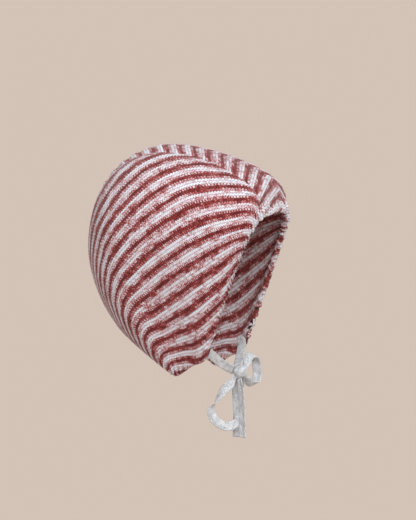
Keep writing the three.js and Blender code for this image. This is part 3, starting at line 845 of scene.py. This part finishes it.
# The ties. Routes are points from the middle of the knot in millimetres, right being the wearer's
# left and forward the front, each with the way the tape's width lies.
ties = {
    "knotAhead": 0.0084,  # of the front corners
    "knotBelow": 0.0174,
    "fitGap": 0.0003,
    "strapEndInside": 0.009,
    "strapEdgeInside": 0.0015,
    "strapClear": 0.0005,  # of the hem's inside
    "strapSag": 0.0016,
    "strapSags": ((0.14, 0.5), (0.55, 1.0)),  # how far to the knot, and how much of the sag there
    "strapCup": 0.05,
    "strapRight": ((-3.4, -4.2, 1.2), (0.2, 0.45, 0.87)),
    "strapLeft": ((2.4, -2.6, 4.9), (0.1, 0.9, 0.3)),
    "longLoop": [
        ((-3.4, -2.6, -3), (0.21, 0.8, -0.56)),
        ((-4.8, -4, -6), (0.21, 0.8, -0.56)),
        ((-6.6, -6, -10), (0.21, 0.8, -0.56)),
        ((-8.6, -9.6, -13.6), (0.1, 0.82, -0.52)),
        ((-9.6, -13.3, -18.9), (-0.6, 0.75, -0.29)),
        ((-10, -17.4, -24.5), (-0.95, 0.31, 0.09)),
        ((-10.5, -19.6, -30), (-0.73, -0.67, 0.13)),
        ((-10.5, -18.4, -35.6), (-0.32, -0.86, -0.4)),
        ((-10, -14.4, -40.2), (-0.25, -0.55, -0.75)),
        ((-8, -8.6, -42.7), (-0.08, 0.03, -1)),
        ((-4, -3.8, -41.7), (0.03, 0.35, -0.94)),
        ((0.4, -1.4, -38.8), (0.23, 0.84, -0.5)),
        ((2.9, -2, -34.6), (0.31, 0.95, 0)),
        ((3.8, -3.2, -29), (0.31, 0.95, 0)),
        ((3.6, -3.6, -20), (0.31, 0.95, 0)),
        ((2.8, -3.8, -12.5), (0.31, 0.95, 0)),
        ((1.2, -2.8, -5.8), (0.31, 0.95, 0)),
    ],
    "shortLoop": [
        ((5.2, 2, 1.2), (-0.28, 0.96, 0)),
        ((9, 2.6, 6), (-0.2, 0.72, -0.66)),
        ((14, 3, 10.4), (-0.1, 0.72, -0.68)),
        ((20, 3.8, 11.6), (-0.1, 0.86, -0.5)),
        ((24.6, 5, 8), (0, 0.98, -0.25)),
        ((26.4, 5.4, 1.5), (0.24, 0.96, -0.1)),
        ((26, 5.8, -5.5), (0.2, 0.96, 0.1)),
        ((22, 5.8, -10.8), (0, 0.9, 0.4)),
        ((15, 4.2, -10.6), (-0.1, 0.74, 0.66)),
        ((9.4, 2.4, -6.6), (-0.2, 0.76, 0.6)),
        ((5.2, 1.6, -2.4), (-0.28, 0.96, 0)),
    ],
    "nearTail": [
        ((-2.4, 1.8, -5.2), (-0.57, 0.82, 0.07)),
        ((-3.4, 3, -13), (-0.57, 0.82, 0.07)),
        ((-4, 3.7, -24), (-0.57, 0.82, 0.07)),
        ((-4, 3.9, -36), (-0.57, 0.82, 0.07)),
        ((-3.6, 3.3, -45), (-0.4, 0.9, 0.04)),
        ((-3, 2.6, -51.4), (-0.2, 0.98, 0)),
    ],
    "farTail": [
        ((3.4, 0.6, -4.9), (0.31, 0.95, 0)),
        ((6.4, -2, -12), (0.31, 0.95, 0)),
        ((8, -3.6, -23), (0.31, 0.95, 0)),
        ((8.2, -4.4, -36), (0.31, 0.95, 0)),
        ((7.6, -4.6, -45), (0.31, 0.95, 0)),
        ((7, -4.6, -52), (0.31, 0.95, 0)),
    ],
}
frontCorner = panelSurface["points"][0, -1]
knotMiddle = np.array((0, frontCorner[1] - ties["knotAhead"], frontCorner[2] - ties["knotBelow"]))
millimetre = 0.001


def direction(values):
    right, forward, up = values
    return np.array((right, -forward, up), float)


def fromKnot(route):
    points = np.array([direction(at) * millimetre + knotMiddle for at, _ in route])
    return points, np.array([direction(width) for _, width in route])


# A smooth line through points, with its direction at each step.
def smoothLine(points, stepsBetween):
    wide = np.concatenate([[2 * points[0] - points[1]], points, [2 * points[-1] - points[-2]]])
    line, places = [], []
    for k in range(len(points) - 1):
        a, b, c, d = wide[k:k + 4]
        gaps = [max(np.linalg.norm(y - x), 1e-6) ** 0.5 for x, y in ((a, b), (b, c), (c, d))]
        leave = ((b - a) / gaps[0] - (c - a) / (gaps[0] + gaps[1]) + (c - b) / gaps[1]) * gaps[1]
        reach = ((c - b) / gaps[1] - (d - b) / (gaps[1] + gaps[2]) + (d - c) / gaps[2]) * gaps[1]
        last = k == len(points) - 2
        for t in np.linspace(0, 1, stepsBetween + 1)[:None if last else -1]:
            s = t * t * (3 - 2 * t)
            line.append(b + (c - b) * s + leave * (t**3 - 2 * t * t + t) + reach * (t**3 - t * t))
            places.append(k + t)
    line = np.array(line)
    steps = np.gradient(line, axis=0)
    return line, steps / np.linalg.norm(steps, axis=1, keepdims=True), np.array(places)


# Faces between rings of count points each. The first point has the number shift.
def ringFaces(rings, count, shift=0, closed=False):
    faces = []
    for k in range(rings if closed else rings - 1):
        here, there = shift + k * count, shift + (k + 1) % rings * count
        for m in range(count):
            n = (m + 1) % count
            faces.append([here + m, here + n, there + n, there + m])
    return faces


# The places round a strip's section: from -1 to 1 across it, and 1 or -1 for its two faces.
def flatRing(steps):
    shares = np.linspace(-1, 1, steps)
    return [(s, 1) for s in shares] + [(s, -1) for s in shares[::-1]]


# A tape along a route. cup bends its section, fold closes it lengthwise and pinch narrows it. The
# last two are given for each end.
def tapeObject(name, points, widths, material, cup, fold=(0.0, 0.0), pinch=(1.0, 1.0)):
    line, ahead, places = smoothLine(points, tapeLook["stepsBetween"])
    across = np.stack([np.interp(places, np.arange(len(points)), widths[:, k]) for k in range(3)], 1)
    across -= ahead * np.sum(across * ahead, axis=1, keepdims=True)
    across /= np.linalg.norm(across, axis=1, keepdims=True)
    face = np.cross(ahead, across)
    lengths = lengthsAlong(line)
    folded = np.interp(lengths / lengths[-1], [0, 1], fold)
    pinched = np.ones(len(line))
    for share, fromEnd in zip(pinch, (lengths, lengths[-1] - lengths)):
        pinched *= share + (1 - share) * smoothStep(fromEnd, *tapeLook["pinchReach"])
    half, thick = tapeLook["width"] / 2, tapeLook["thickness"] / 2
    ring = flatRing(tapeLook["sectionSteps"])
    rows, flat = [], []
    for k in range(len(line)):
        wobble = tapeLook["wobble"] * math.sin(lengths[k] * tapeLook["wobbleRate"] + len(name))
        closing = math.cos(folded[k] * tapeLook["foldTurn"] * math.pi)
        reach = half * pinched[k] * (1 - folded[k] + folded[k] * closing)
        hollow = half * (cup + tapeLook["bend"] * (1 - pinched[k]))
        crease = half * tapeLook["bend"] * folded[k]
        for s, through in ring:
            out = hollow * (s * s - 0.33) + crease * abs(s) + wobble * s
            out += through * thick * math.sqrt(max(1 - s**8, 0.12))  # thinner at the edges
            rows.append(line[k] + across[k] * s * reach + face[k] * out)
            flat.append((lengths[k], s * half))
    count = len(ring)
    faces = ringFaces(len(line), count)
    for start in (0, (len(line) - 1) * count):
        for m in range(count // 2 - 1):
            faces.append([start + m, start + m + 1, start + count - 2 - m, start + count - 1 - m])
    thing = meshObject(name, rows, faces, flat, material)
    return thing, [tuple(point) for point in line], float(lengths[-1])


# A strap from inside the hem at a front corner to where it meets the knot.
def strapRoute(side, meets, hanging):
    lieIn = shape["hemWall"] + shape["gatherDepth"] + ties["fitGap"] + ties["strapClear"]
    lower = panelSurface["first"][:, -1]

    def inCorner(inwards):
        place = np.interp(inwards, lower, np.linspace(0, 1, gridSize))
        down = 1 - inwards / float(smoothSample(panelSurface["second"], place, 1.0))
        normal = smoothSample(panelSurface["normals"], place, down)
        normal /= np.linalg.norm(normal)
        return smoothSample(panelSurface["points"], place, down) - normal * lieIn, normal

    deep, deepNormal = inCorner(ties["strapEndInside"])
    edge, _ = inCorner(ties["strapEdgeInside"])
    inHem = np.cross(edge - deep, deepNormal)
    inHem /= np.linalg.norm(inHem) * (1 if inHem[2] > 0 else -1)
    turn = np.array((side, 1, 1))
    knotSide = direction(meets) * millimetre + knotMiddle
    width = direction(hanging)
    corner = edge * turn
    points = [deep * turn, (deep + edge) / 2 * turn, corner]
    for share, sag in ties["strapSags"]:
        down = np.array((0, 0, ties["strapSag"] * sag))
        points.append(corner + (knotSide - corner) * share - down)
    points.append(knotSide)
    inHem = inHem * turn
    widths = [inHem, inHem, inHem * 0.7 + width * 0.3, width, width, width]
    return np.array(points), np.array(widths)


def makeTies(material):
    plans = [  # name, route, far end, cup, fold and pinch
        ("bow_loop_right", "longLoop", "object", 0.1, (0.0, 0.0), (0.5, 0.6)),
        ("bow_loop_left", "shortLoop", "object", 0.14, (0.0, 0.0), (0.6, 0.6)),
        ("tie_tail_right", "nearTail", "bare", 0.0, (0.55, 0.0), (0.8, 1.0)),
        ("tie_tail_left", "farTail", "bare", 0.12, (0.0, 0.0), (0.7, 1.0)),
    ]
    for name, route, farEnd, cup, fold, pinch in plans:
        points, widths = fromKnot(ties[route])
        thing, path, length = tapeObject(name, points, widths, material, cup, fold, pinch)
        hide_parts(name)
        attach(thing, "root")
    for name, side, route in (("tie_strap_right", -1, "strapRight"), ("tie_strap_left", 1, "strapLeft")):
        thing, _, _ = tapeObject(name, *strapRoute(side, *ties[route]), material, ties["strapCup"])
        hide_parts(name)
        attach(thing, "root")


tapeStuff = tapeMaterial()
makeTies(tapeStuff)
print("ties made")


# The knot: the tape's folded layers in a lump, and one turn of tape pulled over them.
knot = {
    "size": (0.0105, 0.0115, 0.010),
    "rings": 30,
    "pointsRound": 48,
    "blunt": 0.8,  # 1 would be round at the ends, less is blunter
    "folds": 0.08,
    "taper": 0.1,
    "turnWays": ((0, -0.9, -0.436), (1, 0, 0), (0, -0.436, 0.9)),  # across the turn, and two round it
    "turnAhead": 0.0014,
    "turnReach": 1.07,  # in the lump's sizes
    "turnHalfWidth": 0.0021,
    "turnHalfThickness": 0.0005,
    "turnRipple": 0.00028,
    "turnNarrowing": 0.25,
    "turnCurl": 0.12,  # how far its edges draw in
    "turnSteps": 44,
    "sectionSteps": 9,
    "weld": 1e-7,  # joins the points at the lump's two ends
}


def makeKnot(material):
    around, folds = knot["pointsRound"], knot["folds"]
    half = np.array(knot["size"]) / 2
    points, flat = [], []
    for k in range(knot["rings"] + 1):
        lat = math.pi * k / knot["rings"]
        x = -math.cos(lat)
        for m in range(around):
            turn = 2 * math.pi * m / around
            # folds along the lump and round it, both askew
            layers = math.cos(3 * turn + 1.2 * x) + math.cos(7 * x + 1.5 * math.sin(turn))
            radius = math.sin(lat) ** knot["blunt"] * (1 + folds * layers) * (1 - knot["taper"] * x * x)
            spot = np.array((x, radius * math.cos(turn), radius * math.sin(turn))) * half
            points.append(spot + knotMiddle)
            flat.append((turn * half[2], x * half[0]))
    faces = ringFaces(knot["rings"] + 1, around)
    shift = len(points)
    ring = flatRing(knot["sectionSteps"])
    turnAxis, acrossTurn, upTurn = (np.array(way) for way in knot["turnWays"])
    for k in range(knot["turnSteps"]):
        turn = 2 * math.pi * k / knot["turnSteps"]
        out = math.cos(turn) * acrossTurn + math.sin(turn) * upTurn
        middle = out * half * knot["turnReach"] + turnAxis * knot["turnAhead"]
        narrow = 1 - knot["turnNarrowing"] * math.cos(turn + 0.6)
        for s, through in ring:
            lift = knot["turnHalfThickness"] * through * math.sqrt(max(1 - s**6, 0.1))
            lift += knot["turnRipple"] * math.cos(2.5 * math.pi * s + 0.8 * math.sin(turn))
            wide = knot["turnHalfWidth"] * s * narrow
            spot = middle * (1 - knot["turnCurl"] * s * s) + out * lift + turnAxis * wide
            points.append(spot + knotMiddle)
            flat.append((turn * half[2], wide))
    faces += ringFaces(knot["turnSteps"], len(ring), shift, closed=True)
    thing = meshObject("bow_knot", points, faces, flat, material)
    faceOutwards(thing.data, knot["weld"])
    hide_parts("bow_knot")
    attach(thing, "root")


makeKnot(tapeStuff)
print("knot made")


# The knitted pieces
def makeKnits():
    table = np.array(knit["rowMillimetres"], float) / 1000
    panelFields = fieldsOver(panelSurface, lambda p, q: smoothSample(table, p, q))
    shares = np.linspace(0, 1, gridSize)
    middle = bandSurface["first"][:, gridSize // 2]
    halves = bandSurface["second"][:, -1] / 2

    def bandRows(p, q):
        back = np.interp(p, knit["bandPlaces"], knit["bandBulge"])
        bend = np.interp(p, knit["bandPlaces"], knit["bandBend"])
        aside = np.where(q < bend, (bend - q) / bend, (q - bend) / (1 - bend))
        return np.interp(p, shares, middle) - back * (1 - aside ** knit["bandPower"])

    bandWales = lambda p, q: np.interp(p, shares, halves) * (2 * q - 1)
    bandFields = fieldsOver(bandSurface, bandRows, bandWales)
    panelStuff, bandStuff = knitMaterial("knit_panel", 1.0), knitMaterial("knit_band", 4.0)
    pieces = [
        ("side_panel_right", "knit_panel", panelSurface, panelFields, panelStuff, -1),
        ("side_panel_left", "knit_panel", panelSurface, panelFields, panelStuff, 1),
        ("centre_band", "knit_band", bandSurface, bandFields, bandStuff, 1),
    ]
    for name, slot, *made in pieces:
        thing = knittedPiece(name, *made)
        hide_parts(name)
        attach(thing, "root")
        print(thing.name, len(thing.data.polygons), "faces")


makeKnits()
print("knitted pieces made")


# The stage: a wide pale floor far below, a pale world and soft light
stageSet = {
    "floorHeight": -0.5,
    "floorSize": 30.0,
    "floorColour": (208, 192, 180),
    "worldColour": (219, 217, 218),
    "worldStrength": 0.62,
    "keyStrength": 2.5,
    "keyFrom": (-0.65, -0.6, 0.8),
    "keySpread": 40.0,
    "fillStrength": 0.7,
    "fillFrom": (-0.9, 0.35, 0.25),
    "fillSpread": 70.0,
}


def makeStage():
    half, z = stageSet["floorSize"] / 2, stageSet["floorHeight"]
    corners = [(x * half, y * half, z) for x, y in ((-1, -1), (1, -1), (1, 1), (-1, 1))]
    mesh = bpy.data.meshes.new("floor")
    mesh.from_pydata(corners, [], [(0, 1, 2, 3)])
    floor = bpy.data.objects.new("floor", mesh)
    material, _, shader = newMaterial("floor")
    shader.inputs["Base Color"].default_value = linear(*stageSet["floorColour"])
    shader.inputs["Roughness"].default_value = 1.0
    shader.inputs["Specular IOR Level"].default_value = 0.0
    mesh.materials.append(material)
    bpy.context.scene.collection.objects.link(floor)
    world = bpy.data.worlds.new("pale")
    world.use_nodes = True
    background = world.node_tree.nodes["Background"]
    background.inputs[0].default_value = linear(*stageSet["worldColour"])
    background.inputs[1].default_value = stageSet["worldStrength"]
    bpy.context.scene.world = world
    for name in ("key", "fill"):
        data = bpy.data.lights.new(name, "SUN")
        data.energy = stageSet[name + "Strength"]
        data.angle = math.radians(stageSet[name + "Spread"])
        lamp = bpy.data.objects.new(name, data)
        lamp.rotation_mode = "QUATERNION"
        lamp.rotation_quaternion = Vector(stageSet[name + "From"]).to_track_quat("Z", "Y")
        bpy.context.scene.collection.objects.link(lamp)
    bpy.context.scene.view_settings.view_transform = "Standard"


makeStage()
print("stage made")
